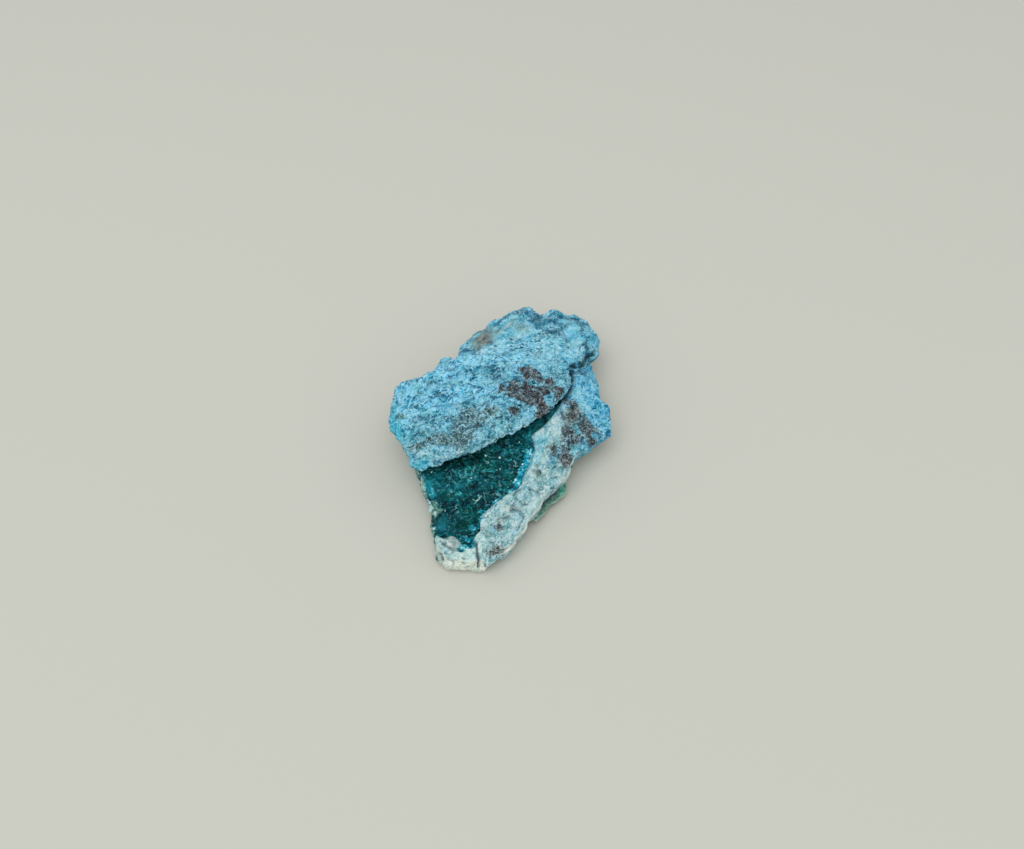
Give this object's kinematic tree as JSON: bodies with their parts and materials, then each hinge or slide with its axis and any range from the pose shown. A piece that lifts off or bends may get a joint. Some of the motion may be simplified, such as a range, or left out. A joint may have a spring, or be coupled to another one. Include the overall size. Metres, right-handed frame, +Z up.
{
  "type": "raw chrysocolla",
  "caption": "Raw chrysocolla specimen: pale blue crusts over a dark teal core that shows in a sloping broken face, on a flat underside.",
  "frame": {"origin": "under the middle of the stone, on the face it rests on", "axes": "+Z up, +Y along the stone from its narrow low end to its broad rear, +X to the right of that"},
  "size_m": [0.0372, 0.0518, 0.0113],
  "materials": {
    "chrysocolla": "matt pale blue to blue-green crust with iron-brown spots; the bare face is dark teal and glints; matte_plastic stands in for stone"
  },
  "bodies": {
    "root": {"chrysocolla_stone": "chrysocolla"}
  },
  "joints": []
}
